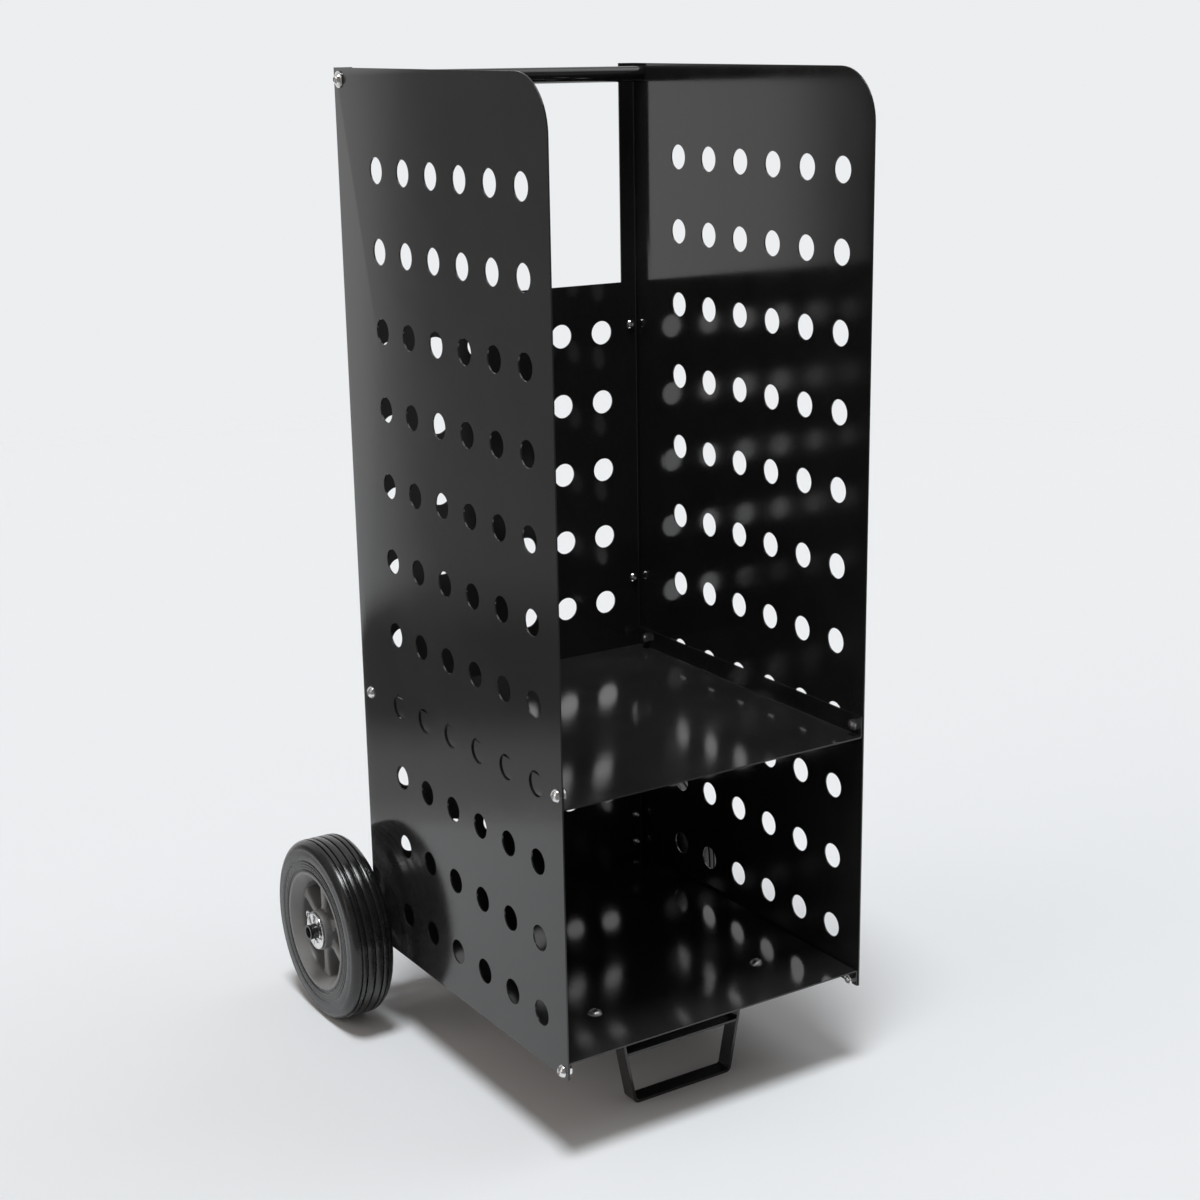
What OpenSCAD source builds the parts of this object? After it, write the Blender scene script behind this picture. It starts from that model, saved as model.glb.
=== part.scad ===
// Fireside log cart: two perforated side panels, a back panel, two shelves, a tube handle,
// a bent flat-bar leg at the front and two wheels on one axle behind the back panel.
// Millimetres, +Z up. The floor is z = 0 and the origin is the middle of the footprint.
// X runs across the cart, -Y is the open front where the logs go in, +Y is the wheel side.

/* [Body] */
// Width over the outer faces of the side panels
cart_w = 345; // [280:1:450]
// Depth of a side panel, front edge to back face
panel_d = 397; // [330:1:500]
// Height of a side panel
panel_h = 900; // [800:1:1100]
// Height of the panels' bottom edge above the floor
panel_lift = 89; // [70:1:130]
// Thickness of the panel and shelf sheet
sheet_t = 1.5; // [1:0.1:3]
// Inside radius of every sheet bend
bend_r = 1.5; // [1:0.1:4]
// Radius of the front top corner of a side panel
corner_r = 50; // [10:1:80]
// Width of the flange along a side panel's back edge
flange_w = 20; // [16:0.5:30]

/* [Perforation] */
// Diameter of the round holes
hole_d = 25; // [10:0.5:35]
// Distance between columns in a side panel
side_col_pitch = 53.8; // [40:0.1:80]
// Distance between rows in a side panel
side_row_pitch = 75.6; // [50:0.1:110]
// Distance between columns in the back panel
back_col_pitch = 50.2; // [40:0.1:80]
// Distance between rows in the back panel
back_row_pitch = 74.8; // [50:0.1:110]
// Front edge of a side panel to its first column
side_front_margin = 45; // [30:1:70]
// Last column of a side panel to its back face, at least
side_back_margin = 80; // [50:1:110]
// Top edge of a side panel to its first row
side_top_margin = 93; // [40:1:120]
// Last row of a side panel to its bottom edge, at least
side_bottom_margin = 50; // [40:1:100]
// Top edge of the back panel to its first row
back_top_margin = 52; // [30:1:90]
// Last row of the back panel to its bottom edge, at least
back_bottom_margin = 90; // [60:1:110]
// Outer columns of the back panel to its side edges, at least
back_side_margin = 30; // [25:1:60]

/* [Back panel] */
// Top edge of the side panels down to the top edge of the back panel
window_h = 227; // [150:1:350]
// Gap between the back panel's side edges and the side panels
back_gap = 2.2; // [1.8:0.1:8]
// Top edge of the back panel to its upper pair of bolts
back_bolt_top = 46; // [20:1:70]
// Bottom edge of the back panel to its lower pair of bolts
back_bolt_bottom = 62; // [50:1:90]

/* [Shelves] */
// Floor to the top face of the middle shelf
mid_shelf_z = 355; // [250:1:450]
// Height of the middle shelf's upturned side flanges
mid_flange_h = 22; // [18:0.5:40]
// Top face of the middle shelf up to its bolts
mid_bolt_up = 11; // [9:0.5:13]
// Panels' bottom edge to the top face of the bottom shelf
low_shelf_up = 17; // [15:0.5:30]
// Top face of the bottom shelf down to its bolts
low_bolt_down = 11; // [10:0.5:11.5]
// Front edge of a side panel back to the front edge of a shelf
shelf_setback = 1; // [0:0.5:10]
// Gap between a shelf and the back panel
shelf_gap = 0.3; // [0.1:0.1:2]
// Front edge of a side panel to the front shelf bolts
bolt_front = 10; // [9:0.5:30]
// Back face of a side panel to the rear shelf bolts
bolt_back = 20; // [16:0.5:40]

/* [Handle] */
// Outside diameter of the handle tube
handle_d = 16; // [12:0.5:24]
// Wall of the handle tube
handle_wall = 1.5; // [1:0.1:2.5]
// Top edge of the side panels down to the handle's middle
handle_drop = 11; // [11:0.5:40]
// Back face of the side panels forward to the handle's middle
handle_in = 14; // [13:0.5:60]
// Length of the threaded plug in each end of the handle
plug_len = 25; // [15:1:50]
// Reach of a handle bolt into its plug
plug_reach = 18; // [8:1:24]

/* [Front leg] */
// Width of the flat bar
bar_w = 18; // [12:0.5:24]
// Thickness of the flat bar
bar_t = 3; // [2:0.5:5]
// Inside radius of the bar's bends
bar_bend_r = 3; // [2:0.5:6]
// Front edge of the side panels back to the leg's middle
leg_in = 73; // [20:1:150]
// Half the leg's width at the floor
leg_foot = 58; // [35:1:90]
// Half the leg's width under the bottom shelf
leg_top = 78; // [60:1:100]
// Half the distance between the leg's two bolts
leg_bolt_x = 97; // [92:1:130]
// Leg bolts to the ends of the leg's tabs
tab_end = 12; // [9:0.5:20]
// Floor to the underside of the rung
rung_z = 54; // [20:1:70]

/* [Axle] */
// Back face of the panels to the axle's middle
axle_behind = 24.5; // [19:0.5:40]
// Outside diameter of the axle tube
axle_d = 16; // [12:0.5:18]
// Wall of the axle tube
axle_wall = 2; // [1:0.1:3]
// Outer washers to the ends of the axle
axle_end = 7.5; // [6:0.5:15]
// Thickness of the axle brackets
bracket_t = 3; // [2:0.5:5]
// Ring of bracket metal round the axle
bracket_ring = 6; // [4:0.5:12]
// Upper bracket bolt down to the lower one
bracket_bolt_pitch = 33; // [28:1:36]
// Outside diameter of the spacer sleeves
spacer_d = 20; // [19:0.5:24]

/* [Wheels] */
// Outside diameter of the tyres
wheel_d = 195; // [190:1:240]
// Width of the tyres
tyre_w = 48; // [40:1:70]
// Gap between a side panel and its tyre
wheel_gap = 11; // [9:0.5:30]
// Radius of the tyre's rounded shoulders
shoulder_r = 10; // [3:0.5:12]
// Width of a tread groove
groove_w = 2.4; // [1:0.1:4]
// Depth of a tread groove
groove_h = 2; // [1:0.1:4]
// Diameter of the rim's edge in the tyre's side
rim_d = 130; // [110:1:150]
// Height of the rim's edge above the seat of the tyre
rim_lip = 3; // [2:0.5:6]
// Width of the rim's edge
lip_w = 2.5; // [1.5:0.5:5]
// Width of the rim's edge as seen from the side
rim_edge = 3.5; // [3:0.5:5]
// How far the rim's dish closes in from its edge to the windows between the spokes
dish_in = 9; // [3:0.5:14]
// Depth of the rim's dish from its edge to the windows
dish_deep = 11; // [5:0.5:14]
// Number of spokes
spokes = 6; // [3:1:8]
// Width of a spoke at the hub
spoke_w = 11; // [6:0.5:18]
// Width of a spoke at the barrel
spoke_foot_w = 20; // [8:0.5:26]
// Outside diameter of the hub
hub_d = 44; // [32:1:60]
// Length of the hub
hub_len = 42; // [30:1:56]
// Wall of the bush in the hub
bush_wall = 3; // [1.5:0.5:6]

/* [Fasteners] */
// Bolts of the shelves, handle, leg and axle brackets
bolt_d = 6; // [5:0.5:8]
// Diameter of their domed heads
bolt_head_d = 12.5; // [10:0.5:16]
// Height of their domed heads
bolt_head_h = 4.5; // [3:0.5:6]
// Nut size across its flats
nut_af = 10; // [9:0.5:13]
// Nut height
nut_h = 5; // [4:0.5:7]
// Diameter of the leg bolts' wide domed heads
leg_head_d = 14; // [12:0.5:20]
// Bolts of the back panel
small_bolt_d = 5; // [4:0.5:6]
// Diameter of the back panel bolts' domed heads
small_head_d = 9.5; // [8:0.5:12]
// Height of the back panel bolts' domed heads
small_head_h = 3; // [2:0.5:4]
// Small nut size across its flats
small_nut_af = 8; // [7:0.5:9]
// Small nut height
small_nut_h = 4; // [3:0.5:5]
// How far a bolt stands out of its nut
bolt_tail = 1.5; // [0.5:0.5:4]
// Diameter of the handle bolts' domed heads
handle_head_d = 11; // [10:0.5:14]
// Washer diameter under the handle bolts
handle_washer_d = 16; // [14:0.5:22]
// Washer thickness under the handle bolts
handle_washer_t = 1.6; // [1:0.1:3]
// Washer diameter beside the hubs
hub_washer_d = 40; // [24:1:42]
// Washer thickness beside the hubs
hub_washer_t = 2.4; // [1.5:0.1:4]
// Diameter of the split pins
pin_d = 4; // [3:0.5:5]
// Middle radius of a split pin's eye
pin_eye_r = 3; // [2.5:0.5:7]
// Height of the eye's wire above the axle
pin_stand = 7; // [0:0.5:8]
// Lean of the split pins from upright, towards the back, in degrees
pin_lean = 30; // [0:5:90]

/* [Clearances] */
// Radial clearance of a bolt in its hole
bolt_gap = 0.25; // [0.1:0.05:0.5]
// Radial clearance of threads, plugs and pressed pieces
press_gap = 0.05; // [0.02:0.01:0.1]
// Radial clearance of a bush on the axle
running_gap = 0.08; // [0.02:0.01:0.1]
// Clearance between a hub and the washers beside it
hub_gap = 0.3; // [0.1:0.1:1]

/* [Hidden] */
$fn = 64;
powder_coat = [0.13, 0.13, 0.135];
zinc = [0.78, 0.79, 0.8];
rubber = [0.2, 0.2, 0.2];
rim_grey = [0.3, 0.3, 0.3];
nylon = [0.85, 0.84, 0.8];
bend_steps = 8;       // straight steps in a bend
past = 1;             // how far a cut runs past the faces that it opens
tiny = 0.001;         // guards a count against rounding

// Places in depth
cart_d = panel_d + axle_behind + wheel_d / 2;
front_y = -cart_d / 2;
back_y = front_y + panel_d;
axle_y = back_y + axle_behind;
leg_y = front_y + leg_in;
back_panel_y = back_y - 2 * sheet_t;
shelf_front_y = front_y + shelf_setback;
shelf_d = back_panel_y - shelf_gap - shelf_front_y;
bolt_front_y = front_y + bolt_front;
bolt_back_y = back_y - bolt_back;
handle_y = back_y - handle_in;

// Places in height
panel_top = panel_lift + panel_h;
back_top = panel_top - window_h;
back_h = back_top - panel_lift;
low_shelf_z = panel_lift + low_shelf_up;
mid_bolt_z = mid_shelf_z + mid_bolt_up;
low_bolt_z = low_shelf_z - low_bolt_down;
handle_z = panel_top - handle_drop;
back_bolt_zs = [
    back_top - back_bolt_top,
    (back_top - back_bolt_top + panel_lift + back_bolt_bottom) / 2,
    panel_lift + back_bolt_bottom,
];
upper_bracket_z = back_bolt_zs[2];
lower_bracket_z = upper_bracket_z - bracket_bolt_pitch;
axle_z = wheel_d / 2;

// Places across the cart
half_w = cart_w / 2;
inner_w = half_w - sheet_t;
back_bolt_x = half_w - flange_w / 2;
bracket_in_x = half_w - flange_w;
spacer_x = bracket_in_x + bracket_t;
hub_mid_x = half_w + wheel_gap + tyre_w / 2;
inner_washer_x = hub_mid_x - hub_len / 2 - hub_gap - hub_washer_t;
outer_washer_x = hub_mid_x + hub_len / 2 + hub_gap;
pin_x = outer_washer_x + hub_washer_t + pin_d / 2 + bolt_gap;
axle_half = outer_washer_x + hub_washer_t + axle_end;

// Rims and tyres
seat_r = rim_d / 2 - rim_lip;
bed_r = seat_r - press_gap;
lip_r = seat_r + rim_lip - press_gap;
dish_r = lip_r - rim_edge - dish_in;
web_w = tyre_w - 2 * dish_deep;
tread_grooves = [-15, -9, 0, 9, 15] * tyre_w / 48;
hub_bore_r = axle_d / 2 + running_gap + bush_wall;

// ---- Shapes that several pieces share ----

// Extrudes a flat shape drawn in (Y, Z) along +X from x0
module along_x(x0, len) {
    translate([x0, 0, 0]) rotate([90, 0, 90]) linear_extrude(len) children();
}

// Extrudes a flat shape drawn in (X, Z) along +Y from y0
module along_y(y0, len) {
    translate([0, y0 + len, 0]) rotate([90, 0, 0]) linear_extrude(len) children();
}

// A piece and its mirror image on the other side of the cart
module both_sides() {
    children();
    mirror([1, 0, 0]) children();
}

function unit(v) = v / norm(v);
function left_of(v) = [-v[1], v[0]];

// One face of a bend of a strip, as points: side is 1 for the left face and -1 for the right
function bend_face(v, d1, d2, t, r, side) =
    let (turn = sign(cross(d1, d2)),
         angle = acos(d1 * d2),
         mid_r = r + t / 2,
         centre = v - d1 * mid_r * tan(angle / 2) + left_of(d1) * turn * mid_r,
         face_r = mid_r - turn * side * t / 2)
    [for (k = [0 : bend_steps])
        let (a = atan2(d1[1], d1[0]) + turn * (angle * k / bend_steps - 90))
        centre + face_r * [cos(a), sin(a)]];

// One whole face of a strip bent along the middle line p
function strip_face(p, t, r, side) =
    let (end = len(p) - 1,
         d = [for (i = [1 : end]) unit(p[i] - p[i - 1])])
    concat([p[0] + side * t / 2 * left_of(d[0])],
           [for (i = [1 : end - 1]) each bend_face(p[i], d[i - 1], d[i], t, r, side)],
           [p[end] + side * t / 2 * left_of(d[end - 1])]);

// A flat strip of thickness t, bent along the middle line p with inside radius r
module bent_strip(p, t, r) {
    left_face = strip_face(p, t, r, 1);
    right_face = strip_face(p, t, r, -1);
    polygon(concat(left_face, [for (i = [len(right_face) - 1 : -1 : 0]) right_face[i]]));
}

// A bolt along Z: domed head above z = 0, shank down to z = -len
module domed_bolt(d, head_d, head_h, len) {
    ball_r = (head_h * head_h + head_d * head_d / 4) / (2 * head_h);
    intersection() {
        translate([0, 0, head_h - ball_r]) sphere(ball_r);
        cylinder(d = head_d, h = head_h);
    }
    translate([0, 0, -len]) cylinder(d = d, h = len);
}

// A hexagon nut that sits on z = 0
module hex_nut(d, af, h) {
    difference() {
        cylinder(d = af / cos(30), h = h, $fn = 6);
        translate([0, 0, -past]) cylinder(d = d + 2 * press_gap, h = h + 2 * past);
    }
}

// A round disc or sleeve along +X from x0, on the axle's line, with a bore
module axle_ring(x0, len, outer_d, bore_d) {
    translate([x0, axle_y, axle_z]) rotate([0, 90, 0]) difference() {
        cylinder(d = outer_d, h = len);
        translate([0, 0, -past]) cylinder(d = bore_d, h = len + 2 * past);
    }
}

// Drills for a bolt: a round hole along X, Y or Z from a point
module drill_x(p, d, len) { translate(p) rotate([0, 90, 0]) cylinder(d = d, h = len); }
module drill_y(p, d, len) { translate(p) rotate([-90, 0, 0]) cylinder(d = d, h = len); }
module drill_z(p, d, len) { translate(p) cylinder(d = d, h = len); }

// Whole steps of a pitch that fit in a length
function steps(length, pitch) = floor(length / pitch + tiny);

// ---- Panels ----

shelf_bolt_places = [
    [bolt_front_y, mid_bolt_z], [bolt_back_y, mid_bolt_z],
    [bolt_front_y, low_bolt_z], [bolt_back_y, low_bolt_z],
];

// A side panel on the +X side: a plate with its back edge bent inwards into a flange
module side_panel() {
    cols = steps(panel_d - side_front_margin - side_back_margin, side_col_pitch);
    rows = steps(panel_h - side_top_margin - side_bottom_margin, side_row_pitch);
    plate_x = half_w - sheet_t / 2;
    flange_y = back_y - sheet_t / 2;
    difference() {
        translate([0, 0, panel_lift]) linear_extrude(panel_h)
            bent_strip([[plate_x, front_y], [plate_x, flange_y], [half_w - flange_w, flange_y]],
                       sheet_t, bend_r);
        // rounded corner at the front of the top edge
        along_x(inner_w - past, sheet_t + 2 * past)
            translate([front_y, panel_top]) difference() {
                translate([-past, -corner_r]) square([corner_r + past, corner_r + past]);
                translate([corner_r, -corner_r]) circle(corner_r);
            }
        for (c = [0 : cols], r = [0 : rows])
            drill_x([inner_w - past, front_y + side_front_margin + c * side_col_pitch,
                     panel_top - side_top_margin - r * side_row_pitch],
                    hole_d, sheet_t + 2 * past);
        for (p = shelf_bolt_places)
            drill_x([inner_w - past, p[0], p[1]], bolt_d + 2 * bolt_gap, sheet_t + 2 * past);
        drill_x([inner_w - past, handle_y, handle_z], bolt_d + 2 * bolt_gap, sheet_t + 2 * past);
        for (z = back_bolt_zs)
            drill_y([back_bolt_x, back_y - sheet_t - past, z],
                    small_bolt_d + 2 * bolt_gap, sheet_t + 2 * past);
        drill_y([back_bolt_x, back_y - sheet_t - past, lower_bracket_z],
                small_bolt_d + 2 * bolt_gap, sheet_t + 2 * past);
    }
}

module side_panel_left() {
    color(powder_coat) mirror([1, 0, 0]) side_panel();
}

module side_panel_right() {
    color(powder_coat) side_panel();
}

// The back panel lies on the front faces of the two flanges
module back_panel() {
    w = 2 * (inner_w - back_gap);
    cols = steps(w - 2 * back_side_margin, back_col_pitch);
    rows = steps(back_h - back_top_margin - back_bottom_margin, back_row_pitch);
    color(powder_coat) difference() {
        translate([-w / 2, back_panel_y, panel_lift]) cube([w, sheet_t, back_h]);
        for (c = [0 : cols], r = [0 : rows])
            drill_y([(c - cols / 2) * back_col_pitch, back_panel_y - past,
                     back_top - back_top_margin - r * back_row_pitch],
                    hole_d, sheet_t + 2 * past);
        for (z = concat(back_bolt_zs, [lower_bracket_z]), s = [-1, 1])
            drill_y([s * back_bolt_x, back_panel_y - past, z],
                    small_bolt_d + 2 * bolt_gap, sheet_t + 2 * past);
    }
}

// ---- Shelves ----

// A shelf across the cart: a plate at height z with both side edges bent to height edge_z
module shelf(z, edge_z, bolt_z) {
    x = inner_w - sheet_t / 2;
    difference() {
        along_y(shelf_front_y, shelf_d)
            bent_strip([[-x, edge_z], [-x, z], [x, z], [x, edge_z]], sheet_t, bend_r);
        for (y = [bolt_front_y, bolt_back_y])
            drill_x([-half_w, y, bolt_z], bolt_d + 2 * bolt_gap, cart_w);
    }
}

module middle_shelf() {
    plate_z = mid_shelf_z - sheet_t / 2;
    color(powder_coat) shelf(plate_z, mid_shelf_z - sheet_t + mid_flange_h, mid_bolt_z);
}

module bottom_shelf() {
    plate_z = low_shelf_z - sheet_t / 2;
    color(powder_coat) difference() {
        shelf(plate_z, panel_lift, low_bolt_z);
        for (s = [-1, 1])
            drill_z([s * leg_bolt_x, leg_y, low_shelf_z - sheet_t - past],
                    bolt_d + 2 * bolt_gap, sheet_t + 2 * past);
    }
}

// The four bolts of a shelf, through the side panels and the shelf's flanges
module shelf_bolts(z) {
    both_sides() for (y = [bolt_front_y, bolt_back_y])
        translate([half_w, y, z]) rotate([0, 90, 0])
            domed_bolt(bolt_d, bolt_head_d, bolt_head_h, 2 * sheet_t + nut_h + bolt_tail);
}

module shelf_nuts(z) {
    both_sides() for (y = [bolt_front_y, bolt_back_y])
        translate([inner_w - sheet_t, y, z]) rotate([0, -90, 0]) hex_nut(bolt_d, nut_af, nut_h);
}

module middle_shelf_bolts() {
    color(zinc) shelf_bolts(mid_bolt_z);
}

module middle_shelf_nuts() {
    color(zinc) shelf_nuts(mid_bolt_z);
}

module bottom_shelf_bolts() {
    color(zinc) shelf_bolts(low_bolt_z);
}

module bottom_shelf_nuts() {
    color(zinc) shelf_nuts(low_bolt_z);
}

// Back panel bolts, heads inside the cart; the lowest pair also holds the axle brackets
module back_bolt(z, grip) {
    translate([back_bolt_x, back_panel_y, z]) rotate([90, 0, 0])
        domed_bolt(small_bolt_d, small_head_d, small_head_h, grip + small_nut_h + bolt_tail);
}

module back_nut(z, y) {
    translate([back_bolt_x, y, z]) rotate([-90, 0, 0])
        hex_nut(small_bolt_d, small_nut_af, small_nut_h);
}

module back_panel_bolts() {
    color(zinc) both_sides() {
        back_bolt(back_bolt_zs[0], 2 * sheet_t);
        back_bolt(back_bolt_zs[1], 2 * sheet_t);
        back_bolt(back_bolt_zs[2], 2 * sheet_t + bracket_t);
    }
}

module back_panel_nuts() {
    color(zinc) both_sides() {
        back_nut(back_bolt_zs[0], back_y);
        back_nut(back_bolt_zs[1], back_y);
        back_nut(back_bolt_zs[2], back_y + bracket_t);
    }
}

// ---- Handle ----

module handle_tube() {
    color(powder_coat) translate([-inner_w, handle_y, handle_z]) rotate([0, 90, 0])
        difference() {
            cylinder(d = handle_d, h = 2 * inner_w);
            translate([0, 0, -past])
                cylinder(d = handle_d - 2 * handle_wall, h = 2 * inner_w + 2 * past);
        }
}

// Threaded plugs pressed into the ends of the handle tube
module handle_plugs() {
    plug_d = handle_d - 2 * handle_wall - 2 * press_gap;
    color(zinc) both_sides()
        translate([inner_w, handle_y, handle_z]) rotate([0, -90, 0]) difference() {
            cylinder(d = plug_d, h = plug_len);
            translate([0, 0, -past])
                cylinder(d = bolt_d + 2 * press_gap, h = plug_len + 2 * past);
        }
}

module handle_bolts() {
    color(zinc) both_sides()
        translate([half_w + handle_washer_t, handle_y, handle_z]) rotate([0, 90, 0])
            domed_bolt(bolt_d, handle_head_d, bolt_head_h, handle_washer_t + sheet_t + plug_reach);
}

module handle_washers() {
    color(zinc) both_sides()
        translate([half_w, handle_y, handle_z]) rotate([0, 90, 0]) difference() {
            cylinder(d = handle_washer_d, h = handle_washer_t);
            translate([0, 0, -past])
                cylinder(d = bolt_d + 2 * bolt_gap, h = handle_washer_t + 2 * past);
        }
}

// ---- Front leg ----

tab_z = low_shelf_z - sheet_t - bar_t / 2;
// Outer half width of the leg's sloping sides at a height
function leg_half(z) = leg_foot + (leg_top - leg_foot) * z / (low_shelf_z - sheet_t);
// Sloping sides stand half a thickness inside their outer face, measured across the slope
side_run = unit([leg_top - leg_foot, low_shelf_z - sheet_t]);
side_in = bar_t / 2 / side_run[1];

// Flat bar bent into a foot that widens upwards, with a tab at each side under the shelf
module front_leg() {
    foot = [leg_half(bar_t / 2) - side_in, bar_t / 2];
    top = [leg_half(tab_z) - side_in, tab_z];
    tab = [leg_bolt_x + tab_end, tab_z];
    flip = [[-1, 0], [0, 1]];
    color(powder_coat) difference() {
        along_y(leg_y - bar_w / 2, bar_w)
            bent_strip([flip * tab, flip * top, flip * foot, foot, top, tab], bar_t, bar_bend_r);
        for (s = [-1, 1])
            drill_z([s * leg_bolt_x, leg_y, low_shelf_z - sheet_t - bar_t - past],
                    bolt_d + 2 * bolt_gap, bar_t + 2 * past);
    }
}

// Flat bar across the leg, cut to the slope of its sides
module leg_rung() {
    inner_at_foot = leg_half(rung_z) - 2 * side_in;
    inner_at_top = leg_half(rung_z + bar_t) - 2 * side_in;
    color(powder_coat) along_y(leg_y - bar_w / 2, bar_w)
        polygon([[-inner_at_foot, rung_z], [inner_at_foot, rung_z],
                 [inner_at_top, rung_z + bar_t], [-inner_at_top, rung_z + bar_t]]);
}

module leg_bolts() {
    color(zinc) both_sides() translate([leg_bolt_x, leg_y, low_shelf_z])
        domed_bolt(bolt_d, leg_head_d, bolt_head_h, sheet_t + bar_t + nut_h + bolt_tail);
}

module leg_nuts() {
    color(zinc) both_sides() translate([leg_bolt_x, leg_y, low_shelf_z - sheet_t - bar_t])
        rotate([180, 0, 0]) hex_nut(bolt_d, nut_af, nut_h);
}

// ---- Axle ----

// An angle on the back of the right flange: its ear reaches back round the axle
module axle_bracket() {
    ring_r = axle_d / 2 + bracket_ring;
    ear_x = bracket_in_x + bracket_t / 2;
    base_y = back_y + bracket_t / 2;
    base_top = upper_bracket_z + small_nut_af;
    base_low = axle_z - ring_r;
    difference() {
        union() {
            // angle section below, then the flat base up past the upper bolt
            intersection() {
                translate([0, 0, base_low]) linear_extrude(2 * ring_r)
                    bent_strip([[half_w, base_y], [ear_x, base_y], [ear_x, axle_y + ring_r]],
                               bracket_t, bend_r);
                along_x(bracket_in_x - past, flange_w + 2 * past) {
                    translate([back_y, base_low]) square([axle_behind, 2 * ring_r]);
                    translate([axle_y, axle_z]) circle(ring_r);
                }
            }
            base_x = bracket_in_x + bracket_t + bend_r;
            translate([base_x, back_y, base_low])
                cube([half_w - base_x, bracket_t, base_top - base_low]);
        }
        drill_x([bracket_in_x - past, axle_y, axle_z],
                axle_d + 2 * press_gap, bracket_t + 2 * past);
        for (z = [upper_bracket_z, lower_bracket_z])
            drill_y([back_bolt_x, back_y - past, z],
                    small_bolt_d + 2 * bolt_gap, bracket_t + 2 * past);
    }
}

module axle_bracket_left() {
    color(powder_coat) mirror([1, 0, 0]) axle_bracket();
}

module axle_bracket_right() {
    color(powder_coat) axle_bracket();
}

module bracket_bolts() {
    color(zinc) both_sides() back_bolt(lower_bracket_z, 2 * sheet_t + bracket_t);
}

module bracket_nuts() {
    color(zinc) both_sides() back_nut(lower_bracket_z, back_y + bracket_t);
}

// One tube from wheel to wheel, cross-drilled near its ends for the split pins
module axle_tube() {
    color(powder_coat) difference() {
        axle_ring(-axle_half, 2 * axle_half, axle_d, axle_d - 2 * axle_wall);
        for (s = [-1, 1])
            translate([s * pin_x, axle_y, axle_z]) rotate([-pin_lean, 0, 0])
                cylinder(d = pin_d + 2 * bolt_gap, h = axle_d + 2 * past, center = true);
    }
}

// Sleeves that hold the wheels away from the brackets
module axle_spacers() {
    color(powder_coat) both_sides()
        axle_ring(spacer_x, inner_washer_x - spacer_x, spacer_d, axle_d + 2 * press_gap);
}

module inner_washers() {
    color(zinc) both_sides()
        axle_ring(inner_washer_x, hub_washer_t, hub_washer_d, axle_d + 2 * press_gap);
}

module outer_washers() {
    color(zinc) both_sides()
        axle_ring(outer_washer_x, hub_washer_t, hub_washer_d, axle_d + 2 * press_gap);
}

// Split pin: an eye above the axle, the shank through it, two ends spread below
module split_pins() {
    eye_z = axle_d / 2 + pin_stand + pin_eye_r + pin_d / 4;
    low_z = -axle_d / 2 - pin_d / 4;
    wire_d = pin_d / 2;
    prong_len = 1.5 * pin_d;
    prong_spread = 40;
    color(zinc) both_sides() translate([pin_x, axle_y, axle_z]) rotate([-pin_lean, 0, 0]) {
        translate([0, 0, low_z]) cylinder(d = pin_d, h = eye_z - pin_eye_r - low_z);
        translate([0, 0, eye_z]) rotate([0, 90, 0]) rotate_extrude()
            translate([pin_eye_r, 0]) circle(d = wire_d);
        for (s = [-1, 1])
            translate([0, 0, low_z + wire_d]) rotate([180 + s * prong_spread, 0, 0])
                cylinder(d = wire_d, h = prong_len + wire_d);
    }
}

// ---- Wheels ----

// Half section of a tyre, radius along X and the wheel's width along Y
module tyre_section() {
    outer_r = wheel_d / 2;
    half = tyre_w / 2;
    difference() {
        union() {
            translate([seat_r, -half]) square([outer_r - shoulder_r - seat_r, tyre_w]);
            translate([seat_r, -half + shoulder_r])
                square([outer_r - seat_r, tyre_w - 2 * shoulder_r]);
            for (s = [-1, 1])
                translate([outer_r - shoulder_r, s * (half - shoulder_r)]) circle(shoulder_r);
        }
        // seats for the rim's two edges
        for (s = [-1, 1])
            translate([seat_r - past, s * (half - lip_w / 2) - (lip_w + past) / 2 + s * past / 2])
                square([rim_lip + past, lip_w + past]);
        for (g = tread_grooves)
            translate([outer_r - groove_h, g - groove_w / 2]) square([groove_h + past, groove_w]);
    }
}

// Half section of a rim: a bed for the tyre between two edges, dished in on both sides
module barrel_section() {
    half = tyre_w / 2;
    lip_in = half - lip_w + press_gap;
    side = [[dish_r, web_w / 2], [lip_r - rim_edge, half], [lip_r, half], [lip_r, lip_in], [bed_r, lip_in]];
    polygon(concat(side, [for (i = [len(side) - 1 : -1 : 0]) [side[i][0], -side[i][1]]]));
}

module wheel_at_hub() {
    translate([hub_mid_x, axle_y, axle_z]) rotate([0, 90, 0]) children();
}

module tyre() {
    wheel_at_hub() rotate_extrude() tyre_section();
}

// Rim: dished barrel, hub, and straight spokes that widen towards the barrel
module rim() {
    spoke_from = (hub_d / 2 + hub_bore_r) / 2;
    spoke_to = (dish_r + bed_r) / 2;
    wheel_at_hub() {
        rotate_extrude() barrel_section();
        difference() {
            translate([0, 0, -hub_len / 2]) cylinder(d = hub_d, h = hub_len);
            translate([0, 0, -hub_len / 2 - past])
                cylinder(r = hub_bore_r + press_gap, h = hub_len + 2 * past);
        }
        for (i = [0 : spokes - 1])
            rotate([0, 0, i * 360 / spokes]) translate([0, 0, -web_w / 2])
                linear_extrude(web_w)
                    polygon([[spoke_from, -spoke_w / 2], [spoke_to, -spoke_foot_w / 2],
                             [spoke_to, spoke_foot_w / 2], [spoke_from, spoke_w / 2]]);
    }
}

module bush() {
    wheel_at_hub() difference() {
        translate([0, 0, -hub_len / 2]) cylinder(r = hub_bore_r, h = hub_len);
        translate([0, 0, -hub_len / 2 - past])
            cylinder(d = axle_d + 2 * running_gap, h = hub_len + 2 * past);
    }
}

module left_tyre() {
    color(rubber) mirror([1, 0, 0]) tyre();
}

module left_rim() {
    color(rim_grey) mirror([1, 0, 0]) rim();
}

module left_bush() {
    color(nylon) mirror([1, 0, 0]) bush();
}

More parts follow.
